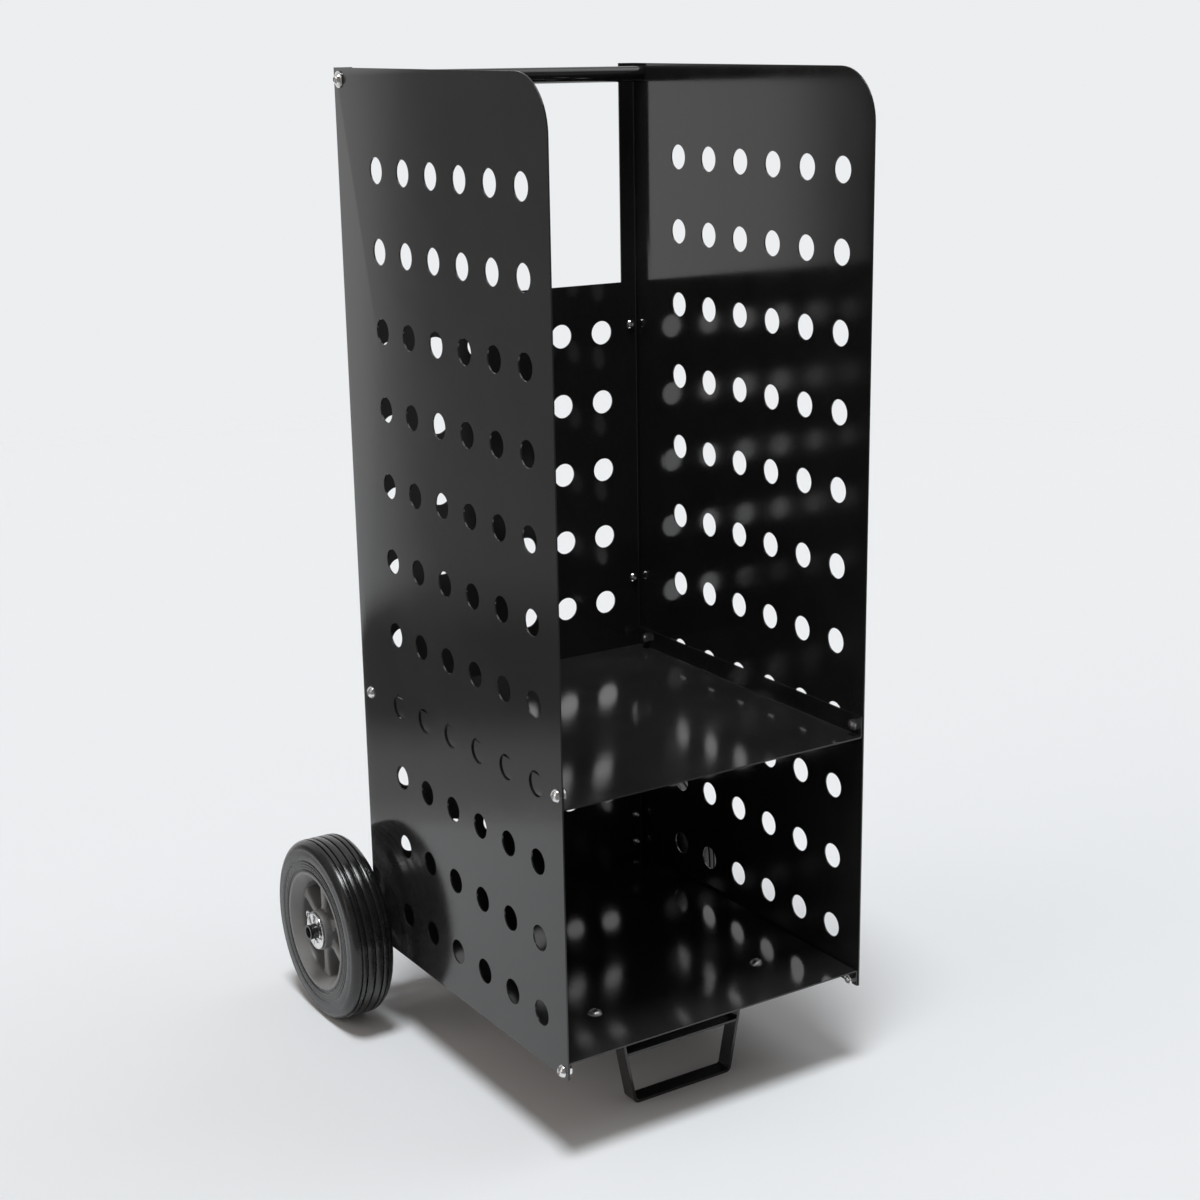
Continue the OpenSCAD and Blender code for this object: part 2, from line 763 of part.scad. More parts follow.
module right_tyre() {
    color(rubber) tyre();
}

module right_rim() {
    color(rim_grey) rim();
}

module right_bush() {
    color(nylon) bush();
}

side_panel_left();
side_panel_right();
back_panel();
middle_shelf();
bottom_shelf();
handle_tube();
handle_plugs();
handle_bolts();
handle_washers();
middle_shelf_bolts();
middle_shelf_nuts();
bottom_shelf_bolts();
bottom_shelf_nuts();
back_panel_bolts();
back_panel_nuts();
front_leg();
leg_rung();
leg_bolts();
leg_nuts();
axle_bracket_left();
axle_bracket_right();
bracket_bolts();
bracket_nuts();
axle_tube();
axle_spacers();
inner_washers();
outer_washers();
split_pins();
left_tyre();
left_rim();
left_bush();
right_tyre();
right_rim();
right_bush();
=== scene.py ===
"""Looks of the fireside log cart: black powder-coated sheet, bright zinc fasteners, grey rims, rubber tyres."""

import math

import bmesh
import bpy
import numpy as np
from mathutils import Matrix, Vector


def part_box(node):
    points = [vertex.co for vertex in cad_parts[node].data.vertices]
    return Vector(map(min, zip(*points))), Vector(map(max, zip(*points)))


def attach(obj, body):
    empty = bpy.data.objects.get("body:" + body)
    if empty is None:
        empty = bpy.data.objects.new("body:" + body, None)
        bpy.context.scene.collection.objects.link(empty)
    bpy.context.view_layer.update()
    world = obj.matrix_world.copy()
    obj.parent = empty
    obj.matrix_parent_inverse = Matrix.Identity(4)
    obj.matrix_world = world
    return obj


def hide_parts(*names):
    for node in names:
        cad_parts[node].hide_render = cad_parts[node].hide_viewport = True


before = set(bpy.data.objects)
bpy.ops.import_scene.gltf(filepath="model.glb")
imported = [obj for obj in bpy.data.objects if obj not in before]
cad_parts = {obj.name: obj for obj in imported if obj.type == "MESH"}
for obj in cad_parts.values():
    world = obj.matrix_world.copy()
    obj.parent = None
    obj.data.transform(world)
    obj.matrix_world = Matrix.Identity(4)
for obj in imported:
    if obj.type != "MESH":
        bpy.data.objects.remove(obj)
bpy.context.view_layer.update()

MM = 0.001
TAU = 2 * math.pi
SIDES = (("left", -1), ("right", 1))
MERGE = 2e-6  # metres: points of a new piece closer than this become one
SHARP = 32  # degrees: edges of a new piece that bend by more than this stay sharp

# ---- Camera, at the photograph's viewing angle ----

SENSOR_MM = 36
FRAME_PX, FOCAL_PX, MIDDLE_PX = 1200, 2052.6, (673.38, 607.80)
CAMERA_AT = (-1.04779, -1.72509, 1.01618)
PICTURE_AXES = ((0.8260490638, -0.5635615736, -0.0064262685),
                (-0.1564465224, -0.2183299682, -0.9632530875),
                (0.5414493788, 0.7966996785, -0.2685184142))


def aim_camera():
    """The focal length and the optical middle are in pixels of a square frame. The lens is the sensor's width
    times the focal length over the frame, and the shift is the middle's distance from the frame's centre over the
    frame. The picture axes are its right, down and forward directions."""
    right, down, forward = np.array(PICTURE_AXES)
    data = bpy.data.cameras.new("camera")
    data.sensor_width = SENSOR_MM
    data.lens = SENSOR_MM * FOCAL_PX / FRAME_PX
    data.shift_x = -(MIDDLE_PX[0] - FRAME_PX / 2) / FRAME_PX
    data.shift_y = (MIDDLE_PX[1] - FRAME_PX / 2) / FRAME_PX
    camera = bpy.data.objects.new("camera", data)
    turn = Matrix(np.stack([right, -down, -forward], 1).tolist()).to_4x4()
    camera.matrix_world = Matrix.Translation(CAMERA_AT) @ turn
    bpy.context.scene.collection.objects.link(camera)
    bpy.context.scene.camera = camera


# ---- Meshes from numpy grids ----


def sheet_of(grid, wrap_u=False, wrap_v=False):
    """Points of a grid and its quads: each row and column joins the next, and the last the first where asked."""
    rows, cols = grid.shape[:2]
    i = np.arange(rows if wrap_u else rows - 1)[:, None]
    j = np.arange(cols if wrap_v else cols - 1)[None, :]
    i2, j2 = (i + 1) % rows, (j + 1) % cols
    quads = np.stack([i * cols + j, i * cols + j2, i2 * cols + j2, i2 * cols + j], -1)
    return grid.reshape(-1, 3), quads.reshape(-1, 4)


def piece(name, shells, body, slot, material, *stands_for):
    """One object from several closed shells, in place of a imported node: doubles merged, so that poles close, and
    faces turned outwards."""
    start = np.cumsum([0] + [len(points) for points, _ in shells])
    points = np.concatenate([p for p, _ in shells])
    quads = np.concatenate([q + s for (_, q), s in zip(shells, start)])
    mesh = bpy.data.meshes.new(name)
    mesh.from_pydata(points.tolist(), [], quads.tolist())
    shape = bmesh.new()
    shape.from_mesh(mesh)
    bmesh.ops.remove_doubles(shape, verts=shape.verts, dist=MERGE)
    bmesh.ops.recalc_face_normals(shape, faces=shape.faces)
    shape.to_mesh(mesh)
    shape.free()
    obj = bpy.data.objects.new(name, mesh)
    bpy.context.scene.collection.objects.link(obj)
    mesh.materials.append(material)
    smooth_up_to(obj, SHARP)
    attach(obj, body)
    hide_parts(*stands_for)


def smooth_up_to(obj, degrees):
    """Smooth shading, with edges sharper than the angle kept sharp."""
    obj.data.polygons.foreach_set("use_smooth", np.ones(len(obj.data.polygons), bool))
    shape = bmesh.new()
    shape.from_mesh(obj.data)
    limit = math.radians(degrees)
    for edge in shape.edges:
        edge.smooth = len(edge.link_faces) == 2 and edge.calc_face_angle(0) < limit
    shape.to_mesh(obj.data)
    shape.free()


def rounded(profile, radius, steps=3, most=0.45):
    """A closed profile with each corner replaced by a short curve: a quadratic blend between two points on its
    sides, set back by the radius, or by the most of the shorter side. The radius is one for all corners or one
    for each."""
    p = np.asarray(profile, float)
    radius = np.broadcast_to(radius, len(p))
    before, after = np.roll(p, 1, 0) - p, np.roll(p, -1, 0) - p
    len_b, len_a = np.linalg.norm(before, axis=1), np.linalg.norm(after, axis=1)
    cut = np.minimum(radius, most * np.minimum(len_b, len_a))[:, None]
    a, b = p + before / len_b[:, None] * cut, p + after / len_a[:, None] * cut
    t = np.linspace(0, 1, steps + 1)[None, :, None]
    curve = (1 - t) ** 2 * a[:, None] + 2 * t * (1 - t) * p[:, None] + t ** 2 * b[:, None]
    return curve.reshape(-1, 2)


def turned_x(profile, centre_y, centre_z, around=96):
    """A closed profile of (x, radius) in mm carried round an axis along X: y and z are the radius times the
    cosine and the sine of the turn."""
    turn = np.arange(around) * TAU / around
    x, r = np.asarray(profile, float).T
    grid = np.stack([np.repeat(x[:, None], around, 1), centre_y + r[:, None] * np.cos(turn),
                     centre_z + r[:, None] * np.sin(turn)], -1)
    return sheet_of(grid * MM, True, True)


def ring(x0, x1, bore, outer, centre_y, centre_z, edge=0.3, around=96):
    """A disc or sleeve along X with rounded edges."""
    outline = [(x0, bore), (x1, bore), (x1, outer), (x0, outer)]
    return turned_x(rounded(outline, edge), centre_y, centre_z, around)


def facing(axis, turn_deg=0.0):
    """A turn that carries +Z to the axis, after a spin about +Z."""
    spin = Matrix.Rotation(math.radians(turn_deg), 3, "Z")
    return np.array((Vector((0, 0, 1)).rotation_difference(Vector(axis)).to_matrix() @ spin))


def placed(shell, origin, axis, turn_deg=0.0):
    """A shell made along +Z, turned to the axis and moved to an origin in mm."""
    points, quads = shell
    return points @ facing(axis, turn_deg).T + np.array(origin) * MM, quads


# ---- Materials ----


def fill_ramp(ramp, stops):
    """Puts stops (place, grey level or colour) into a colour ramp."""
    while len(ramp.elements) < len(stops):
        ramp.elements.new(1)
    for element, (place, shade) in zip(ramp.elements, stops):
        element.position = place
        element.color = (*(shade if isinstance(shade, tuple) else (shade,) * 3), 1)


def smooth_step(tree, value, limits=(0.0, 1.0, 0.0, 1.0)):
    """A node that carries a value between the first two limits to one between the last two, in a smooth step."""
    node = tree.nodes.new("ShaderNodeMapRange")
    node.interpolation_type = "SMOOTHSTEP"
    for socket, limit in zip(range(1, 5), limits):
        node.inputs[socket].default_value = limit
    tree.links.new(value, node.inputs[0])
    return node


class Finish:
    """A Principled material and short calls for the nodes that feed it, on Object coordinates."""

    def __init__(self, name, **constants):
        self.material = bpy.data.materials.new(name)
        self.material.use_nodes = True
        self.tree = self.material.node_tree
        self.shader = self.tree.nodes["Principled BSDF"]
        self.coords = self.tree.nodes.new("ShaderNodeTexCoord").outputs["Object"]
        for socket, value in constants.items():
            self.shader.inputs[socket.replace("_", " ")].default_value = value

    def link(self, output, socket):
        self.tree.links.new(output, self.shader.inputs[socket])

    def stretched(self, scale):
        """Object coordinates with each axis scaled."""
        node = self.tree.nodes.new("ShaderNodeMapping")
        node.inputs["Scale"].default_value = scale
        self.tree.links.new(self.coords, node.inputs["Vector"])
        return node.outputs["Vector"]

    def noise(self, scale, detail=4.0, rough=0.5, vector=None):
        """A noise value, on Object coordinates unless another vector is given."""
        node = self.tree.nodes.new("ShaderNodeTexNoise")
        node.inputs["Scale"].default_value = scale
        node.inputs["Detail"].default_value = detail
        node.inputs["Roughness"].default_value = rough
        self.tree.links.new(vector or self.coords, node.inputs["Vector"])
        return node.outputs["Fac"]

    def ramp(self, value, *stops):
        """Stops (place, grey level or colour) along a value."""
        node = self.tree.nodes.new("ShaderNodeValToRGB")
        fill_ramp(node.color_ramp, stops)
        self.tree.links.new(value, node.inputs["Fac"])
        return node.outputs["Color"]

    def blend(self, factor, a, b):
        """The first colour, with a fixed share of the second."""
        node = self.tree.nodes.new("ShaderNodeMix")
        node.data_type = "RGBA"
        node.inputs[0].default_value = factor
        self.tree.links.new(a, node.inputs[6])
        self.tree.links.new(b, node.inputs[7])
        return node.outputs[2]

    def bump(self, height, distance, strength, below=None):
        """A normal bent by a value times a distance in metres, over another bump if one is given."""
        node = self.tree.nodes.new("ShaderNodeBump")
        node.inputs["Strength"].default_value = strength
        node.inputs["Distance"].default_value = distance
        self.tree.links.new(height, node.inputs["Height"])
        if below:
            self.tree.links.new(below, node.inputs["Normal"])
        return node.outputs["Normal"]


def powder_coat(name, shade, low, high):
    """Black powder coat: a faint orange peel over a slight wave of the sheet, with hazy handling marks in the
    gloss, whose roughness runs from low to high."""
    f = Finish(name, IOR=1.6)
    haze = f.noise(scale=9, detail=5, rough=0.6)
    fine = f.noise(scale=240, detail=3, rough=0.6)
    darker, lighter = (tuple(k * c for c in shade) for k in (0.75, 1.3))
    f.link(f.ramp(haze, (0.3, darker), (0.75, lighter)), "Base Color")
    gloss = f.ramp(haze, (0.35, low), (0.55, (low + high) / 2), (0.8, high))
    speck = f.ramp(fine, (0.3, low), (0.75, high))
    f.link(f.blend(0.35, gloss, speck), "Roughness")
    wave = f.bump(f.noise(scale=5.5, detail=2, rough=0.4), distance=0.0006, strength=0.35)
    peel = f.bump(f.noise(scale=620, detail=2, rough=0.5), distance=0.00003, strength=0.5, below=wave)
    f.link(peel, "Normal")
    return f.material


def zinc(name):
    """Bright zinc plate: cool grey with faint warm and blue clouds and fine drawn lines."""
    f = Finish(name, Metallic=1.0)
    blue, plain, warm = (0.68, 0.69, 0.72), (0.82, 0.82, 0.81), (0.9, 0.88, 0.83)
    cloud = f.noise(scale=160, detail=4, rough=0.6)
    f.link(f.ramp(cloud, (0.3, blue), (0.5, plain), (0.75, warm)), "Base Color")
    f.link(f.ramp(f.noise(scale=600, detail=3, rough=0.6), (0.3, 0.12), (0.75, 0.28)), "Roughness")
    drawn = f.noise(scale=420, detail=2, rough=0.5, vector=f.stretched((1, 0.35, 1)))
    f.link(f.bump(drawn, distance=0.00005, strength=0.3), "Normal")
    return f.material


def rubber(name):
    """Black rubber with a dull shine: dusty clouds, a fine grain and faint scuffs."""
    f = Finish(name, IOR=1.6)
    clean, worn, dusty = (0.006, 0.006, 0.006), (0.009, 0.009, 0.0087), (0.02, 0.0193, 0.018)
    dust = f.noise(scale=38, detail=6, rough=0.65)
    f.link(f.ramp(dust, (0.3, clean), (0.6, worn), (0.85, dusty)), "Base Color")
    f.link(f.ramp(dust, (0.3, 0.22), (0.55, 0.29), (0.85, 0.42)), "Roughness")
    grain = f.bump(f.noise(scale=1300, detail=3, rough=0.6), distance=0.00004, strength=0.4)
    scuffs = f.bump(f.noise(scale=60, detail=4, rough=0.6), distance=0.0002, strength=0.25, below=grain)
    f.link(scuffs, "Normal")
    return f.material


def rim_plastic(name):
    """Grey moulded plastic: satin, with a fine eroded grain and flow marks."""
    f = Finish(name, IOR=1.52)
    flow = f.noise(scale=26, detail=4, rough=0.55, vector=f.stretched((0.3, 1, 1)))
    f.link(f.ramp(flow, (0.3, (0.165, 0.164, 0.162)), (0.75, (0.215, 0.213, 0.21))), "Base Color")
    f.link(f.ramp(flow, (0.3, 0.32), (0.75, 0.46)), "Roughness")
    f.link(f.bump(f.noise(scale=1500, detail=2, rough=0.5), distance=0.00005, strength=0.4), "Normal")
    return f.material


def bush_plastic(name):
    """Natural nylon: off-white, slightly waxy."""
    f = Finish(name, IOR=1.53, Subsurface_Weight=0.15, Subsurface_Scale=0.002)
    tint = f.noise(scale=90, detail=3)
    f.link(f.ramp(tint, (0.3, (0.62, 0.59, 0.52)), (0.75, (0.74, 0.72, 0.65))), "Base Color")
    f.link(f.ramp(f.noise(scale=400, detail=3), (0.3, 0.35), (0.75, 0.5)), "Roughness")
    f.link(f.bump(f.noise(scale=900, detail=2), distance=0.00004, strength=0.4), "Normal")
    return f.material


COAT = powder_coat("powder_coat", shade=(0.016, 0.0158, 0.016), low=0.07, high=0.17)
COAT_EDGE = powder_coat("powder_coat_edge", shade=(0.02, 0.0195, 0.0195), low=0.16, high=0.34)
ZINC, RUBBER = zinc("zinc_plate"), rubber("tyre_rubber")
RIM_GREY, NYLON = rim_plastic("rim_plastic"), bush_plastic("bush_nylon")

# ---- Sheet and bar pieces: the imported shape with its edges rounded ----

SHEET_MM, BRACKET_MM, BAR_MM, RUNG_MM, TUBE_MM = 0.35, 0.5, 0.7, 0.6, 0.4
ROUNDING = {"side_panel_left": SHEET_MM, "side_panel_right": SHEET_MM, "back_panel": SHEET_MM,
            "middle_shelf": SHEET_MM, "bottom_shelf": SHEET_MM, "front_leg": BAR_MM, "leg_rung": RUNG_MM,
            "axle_bracket_left": BRACKET_MM, "axle_bracket_right": BRACKET_MM, "axle_tube": TUBE_MM}


def edged(node, body, round_mm, same=1e-6, flat_deg=0.4, bend_deg=40, corner_deg=45):
    """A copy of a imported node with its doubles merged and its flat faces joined. Edges under bend_deg are shaded
    smooth, and those over corner_deg get a small rounding, in the edge coat."""
    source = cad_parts[node]
    mesh = source.data.copy()
    shape = bmesh.new()
    shape.from_mesh(mesh)
    bmesh.ops.remove_doubles(shape, verts=shape.verts, dist=same)
    bmesh.ops.dissolve_limit(shape, angle_limit=math.radians(flat_deg), verts=shape.verts, edges=shape.edges)
    shape.to_mesh(mesh)
    shape.free()
    obj = bpy.data.objects.new(node + "_coated", mesh)
    bpy.context.scene.collection.objects.link(obj)
    mesh.materials.clear()
    mesh.materials.append(COAT)
    mesh.materials.append(COAT_EDGE)
    smooth_up_to(obj, bend_deg)
    bevel = obj.modifiers.new("rounded_edges", "BEVEL")
    bevel.width = round_mm * MM
    bevel.segments = 3
    bevel.limit_method = "ANGLE"
    bevel.angle_limit = math.radians(corner_deg)
    bevel.use_clamp_overlap = True
    bevel.harden_normals = True
    bevel.material = 1
    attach(obj, body)
    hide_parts(node)


for node, round_mm in ROUNDING.items():
    edged(node, "cart", round_mm)

# ---- Round pieces, in mm ----


def middle_of(node):
    """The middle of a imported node's box."""
    low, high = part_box(node)
    return [(a + b) / 2 / MM for a, b in zip(low, high)]


def width_of(node):
    """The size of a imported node's box."""
    low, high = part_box(node)
    return [(b - a) / MM for a, b in zip(low, high)]


TYRE_X, AXLE_Y, AXLE_Z = middle_of("left_tyre")
TYRE_X = abs(TYRE_X)
TYRE_HALF, TYRE_R = width_of("left_tyre")[0] / 2, width_of("left_tyre")[2] / 2
HANDLE_HALF = width_of("handle_tube")[0] / 2
_, HANDLE_Y, HANDLE_Z = middle_of("handle_tube")
AXLE, HANDLE = (AXLE_Y, AXLE_Z), (HANDLE_Y, HANDLE_Z)

# Distances from the middle plane, and radii
PANEL_FACE, HANDLE_WASHER_FACE = 172.5, 174.1
PLUG_ENDS = (146, 171)
SLEEVE_ENDS, INNER_WASHER_FACES, OUTER_WASHER_FACES = (155.5, 183.8), (183.8, 186.2), (228.8, 231.2)
AXLE_FIT_R, SLEEVE_R, WASHER_R = 8.05, 10, 20
HANDLE_BORE_R, HANDLE_R = 6.5, 8


def both_ends(name, node, ends, bore, outer, line, slot, material, edge):
    """The same ring on the left and on the right, between two distances from the middle plane."""
    shells = [ring(s * ends[0], s * ends[1], bore, outer, *line, edge) for _, s in SIDES]
    piece(name, shells, "cart", slot, material, node)


handle_bar = ring(-HANDLE_HALF, HANDLE_HALF, HANDLE_BORE_R, HANDLE_R, *HANDLE, edge=0.3, around=128)
piece("handle_bar", [handle_bar], "cart", "powder_coat", COAT, "handle_tube")
both_ends("handle_end_washers", "handle_washers", (PANEL_FACE, HANDLE_WASHER_FACE), bore=3.25, outer=8,
          line=HANDLE, slot="zinc", material=ZINC, edge=0.45)
both_ends("handle_end_plugs", "handle_plugs", PLUG_ENDS, bore=3.05, outer=6.45,
          line=HANDLE, slot="zinc", material=ZINC, edge=0.4)
both_ends("axle_sleeves", "axle_spacers", SLEEVE_ENDS, bore=AXLE_FIT_R, outer=SLEEVE_R,
          line=AXLE, slot="powder_coat", material=COAT, edge=0.5)
both_ends("hub_inner_washers", "inner_washers", INNER_WASHER_FACES, bore=AXLE_FIT_R, outer=WASHER_R,
          line=AXLE, slot="zinc", material=ZINC, edge=0.7)


def dished_washer(side):
    """The outer washer: its face slopes back by half a millimetre between a raised collar and a rounded rim."""
    low, high = OUTER_WASHER_FACES
    face = ((0, 11), (0.5, 12.6), (0.65, 17.3), (0.2, 18.6), (0.3, WASHER_R - 0.1))  # set back, radius
    outline = [(low, AXLE_FIT_R), (high, AXLE_FIT_R), *((high - back, r) for back, r in face), (low, WASHER_R)]
    return turned_x([(side * x, r) for x, r in rounded(outline, 0.5)], *AXLE)


piece("hub_outer_washers", [dished_washer(s) for _, s in SIDES], "cart", "zinc", ZINC, "outer_washers")

# ---- Bolts and nuts ----


def hexagon(across_flats, turn):
    """Radius of a hexagon at each angle: half the width across flats over the cosine of the angle from the middle
    of the nearest flat."""
    return across_flats / 2 / np.cos((turn + TAU / 12) % (TAU / 6) - TAU / 12)


def bolt(shank, head, height, length, socket, around=48):
    """A bolt along +Z, head above z = 0. Rows run from the middle of the socket's floor over the dome, a part of
    a ball, then under the head and down the shank. Past a plain neck the shank carries a thread: its radius less
    a triangle wave of height over pitch plus the share of a turn."""
    neck, pitch, tip = 3.2, 0.16 * shank, 0.12 * shank
    steps_in_pitch, thread_deep, root_deep, point_deep = 6, 0.55, 0.6, 1.6  # depths are shares of the pitch
    lead_in, lead_deep, drill_deep, edge = 0.25, 0.18, 0.25, 0.12
    dome_top, dome_foot_in, dome_steps = 0.04, 0.05, 11  # an angle, a distance and a count
    turn = np.arange(around) * TAU / around
    none = np.zeros(around)
    ball = (height ** 2 + head ** 2 / 4) / (2 * height)
    if socket:
        hexed = hexagon(socket, turn)
        lip = socket / 2 / math.cos(TAU / 12) + lead_in
        top = math.sqrt(ball ** 2 - lip ** 2) + height - ball
        base = top - 0.5 * height
        rows = [(none, base - drill_deep), (none + 0.4 * socket, base), (hexed, base), (hexed, top - lead_deep),
                (none + lip, top)]
        start = math.asin(lip / ball)
    else:
        rows = [(none, height)]
        start = dome_top
    end = math.asin(min(1.0, (head / 2 - dome_foot_in) / ball))
    for a in np.linspace(start, end, dome_steps)[(1 if socket else 0):]:
        rows.append((none + ball * math.sin(a), ball * math.cos(a) + height - ball))
    rows += [(none + head / 2, edge), (none + head / 2 - edge, 0.0), (none + shank / 2, 0.0)]
    for z in np.arange(-(length - neck), -(length - tip), -pitch / steps_in_pitch):
        wave = np.abs(((z / pitch + turn / TAU) % 1) * 2 - 1)
        rows.append((shank / 2 - thread_deep * pitch * wave, z))
    rows += [(none + shank / 2 - root_deep * pitch, -(length - tip)),
             (none + shank / 2 - point_deep * pitch, -length), (none, -length)]
    grid = np.stack([np.stack([r * np.cos(turn), r * np.sin(turn), none + z], -1) for r, z in rows])
    return sheet_of(grid * MM, False, True)


def nut(bore, across_flats, height, around=72):
    """A hexagon nut on z = 0: each corner is cut back by a cone, top and bottom, and the bore's ends are
    countersunk."""
    sink_wide, sink_deep, face_share, cone_deg = 0.4, 0.35, 0.94, 30
    turn = np.arange(around) * TAU / around
    hexed = hexagon(across_flats, turn)
    flat = across_flats / 2 * face_share
    drop = (hexed - flat) * math.tan(math.radians(cone_deg))
    one = np.ones(around)
    hole, mouth, face = bore / 2 * one, (bore / 2 + sink_wide) * one, flat * one
    rows = [(hole, sink_deep * one), (mouth, 0 * one), (face, 0 * one), (hexed, drop), (hexed, height - drop),
            (face, height * one), (mouth, height * one), (hole, (height - sink_deep) * one)]
    grid = np.stack([np.stack([r * np.cos(turn), r * np.sin(turn), z], -1) for r, z in rows])
    return sheet_of(grid * MM, True, True)


def fasteners(name, shells, node):
    """Zinc-plated pieces on the cart."""
    piece(name, shells, "cart", "zinc", ZINC, node)


M6 = bolt(shank=6, head=12.5, height=4.5, length=9.5, socket=4)
M6_NUT = nut(bore=6.1, across_flats=10, height=5)
NUT_SEAT = 169.5  # inner face of a shelf's flange, from the middle plane
SHELF_BOLT_Y, SHELF_BOLT_Z = (-249.5, 117.5), {"middle_shelf": 366, "bottom_shelf": 95}
for shelf, z in SHELF_BOLT_Z.items():
    spots = list(enumerate((s, y) for _, s in SIDES for y in SHELF_BOLT_Y))
    screws = [placed(M6, (s * PANEL_FACE, y, z), (s, 0, 0), 37 * i) for i, (s, y) in spots]
    nuts = [placed(M6_NUT, (s * NUT_SEAT, y, z), (-s, 0, 0), 23 * i + 30) for i, (s, y) in spots]
    fasteners(shelf + "_screws", screws, shelf + "_bolts")
    fasteners(shelf + "_hex_nuts", nuts, shelf + "_nuts")

HANDLE_SCREW = bolt(shank=6, head=11, height=4.5, length=21.1, socket=4)
handle_screws = [placed(HANDLE_SCREW, (s * HANDLE_WASHER_FACE, *HANDLE), (s, 0, 0), 20 * s) for _, s in SIDES]
fasteners("handle_screws", handle_screws, "handle_bolts")

BACK_X, FLANGE_Y, PLATE_Y = 162.5, 137.5, 134.5  # from the middle; rear of the flange; front of the back panel
THIN, THICK = 3, 6  # what a bolt clamps: two sheets, or the sheets and an axle bracket
M5 = {grip: bolt(shank=5, head=9.5, height=3, length=grip + 5.5, socket=3) for grip in (THIN, THICK)}
M5_NUT = nut(bore=5.1, across_flats=8, height=4)


def back_row(name, heights):
    """Screws and nuts on both sides at heights (z, what they clamp), heads inside the back panel."""
    spots = list(enumerate((s * BACK_X, z, grip) for z, grip in heights for _, s in SIDES))
    screws = [placed(M5[grip], (x, PLATE_Y, z), (0, -1, 0), 29 * i) for i, (x, z, grip) in spots]
    nuts = [placed(M5_NUT, (x, FLANGE_Y + grip - THIN, z), (0, 1, 0), 41 * i) for i, (x, z, grip) in spots]
    fasteners(name + "_screws", screws, name + "_bolts")
    fasteners(name + "_hex_nuts", nuts, name + "_nuts")


back_row("back_panel", ((716, THIN), (433.5, THIN), (151, THICK)))
back_row("bracket", ((118, THICK),))

LEG_X, LEG_Y, SHELF_TOP, TAB_UNDER = 97, middle_of("leg_bolts")[1], 106, 101.5
LEG_SCREW = bolt(shank=6, head=14, height=4.5, length=11, socket=0)
leg_screws = [placed(LEG_SCREW, (s * LEG_X, LEG_Y, SHELF_TOP), (0, 0, 1)) for _, s in SIDES]
leg_nuts = [placed(M6_NUT, (s * LEG_X, LEG_Y, TAB_UNDER), (0, 0, -1), 17 * s) for _, s in SIDES]
fasteners("leg_screws", leg_screws, "leg_bolts")
fasteners("leg_hex_nuts", leg_nuts, "leg_nuts")

PIN_X, WIRE_R = 233.45, 0.98


def wire(path, radius, around=16, dome=0.4, shoulder=0.75):
    """A round wire along a path in a plane of constant x: circles square to the path, one of their axes along X.
    A smaller circle and a point set out by the dome close each end."""
    p = np.asarray(path, float)
    ahead = np.gradient(p, axis=0)
    ahead /= np.linalg.norm(ahead, axis=1)[:, None]
    side = np.cross(ahead, [1.0, 0, 0])
    turn = np.arange(around) * TAU / around
    size = np.full(len(p), radius)
    first, last = p[:1] - ahead[:1] * radius * dome, p[-1:] + ahead[-1:] * radius * dome
    p = np.concatenate([first, p[:1], p, p[-1:], last])
    side = np.concatenate([side[:1]] * 2 + [side] + [side[-1:]] * 2)
    size = np.concatenate([[0, radius * shoulder], size, [radius * shoulder, 0]])
    grid = p[:, None] + size[:, None, None] * (np.cos(turn)[None, :, None] * side[:, None]
                                               + np.sin(turn)[None, :, None] * np.array([1.0, 0, 0]))
    return sheet_of(grid * MM, False, True)


def split_pin(side):
    """A folded wire: spread end, straight leg through the axle, round eye, straight leg, spread end. The legs
    touch, and the whole leans back."""
    eye_z, eye_r, lean = 19.0, 3.0, math.radians(-30)
    leg_foot, bend_z, spread = -6.6, -7.1, (-4.9, -5.8)
    eye_steps, leg_steps, foot_steps = 49, 14, 6
    open_by = math.asin(WIRE_R / eye_r)
    eye = np.linspace(-math.pi / 2 - open_by, -2.5 * math.pi + open_by, eye_steps)
    leg_z = np.linspace(leg_foot, eye_z - eye_r * math.cos(open_by) - 0.3, leg_steps)
    foot = np.linspace(1, 0, foot_steps)[:, None] * [spread] + [[-WIRE_R, bend_z]]
    left = np.concatenate([foot, np.stack([np.full(leg_steps, -WIRE_R), leg_z], 1)])
    right = (left * [-1, 1])[::-1]
    ring_part = np.stack([eye_r * np.cos(eye), eye_z + eye_r * np.sin(eye)], 1)
    y, z = np.concatenate([left, ring_part, right]).T
    turned = np.stack([y * 0 + side * PIN_X, AXLE_Y + y * math.cos(lean) - z * math.sin(lean),
                       AXLE_Z + y * math.sin(lean) + z * math.cos(lean)], 1)
    return wire(turned, WIRE_R)


fasteners("cotter_pins", [split_pin(s) for _, s in SIDES], "split_pins")

# ---- Wheels, in mm: x from the tyre's middle, and radii ----

LIP_R, BED_R, EDGE_IN, DISH_R = 64.95, 61.95, 61.45, 52.45
LIP_INNER, SEAT_INNER, WALL_FOOT = 2.45, 2.55, 0.6  # set in from the tyre's side
WEB, HUB_HALF, HUB_R = 13.0, 21, 22
# Radius, depth and width of each groove in the tyre's side
SIDE_GROOVES = ((67.3, 0.75, 0.8), (70.4, 0.35, 0.55), (73.5, 0.35, 0.55), (76.8, 0.6, 0.8))
TREAD_GROOVES, TREAD_EDGE, SHOULDER = (15, 9, 0, -9, -15), 16.6, 10.0
GROOVE_HALF = ((-1.25, 0), (-1.05, 0.08), (-0.9, 0.4), (-0.8, 1.6), (-0.6, 2.0))  # across, depth
CROWN_R, CROWN_WIDE, CROWN_HIGH = 82, 11, 0.25


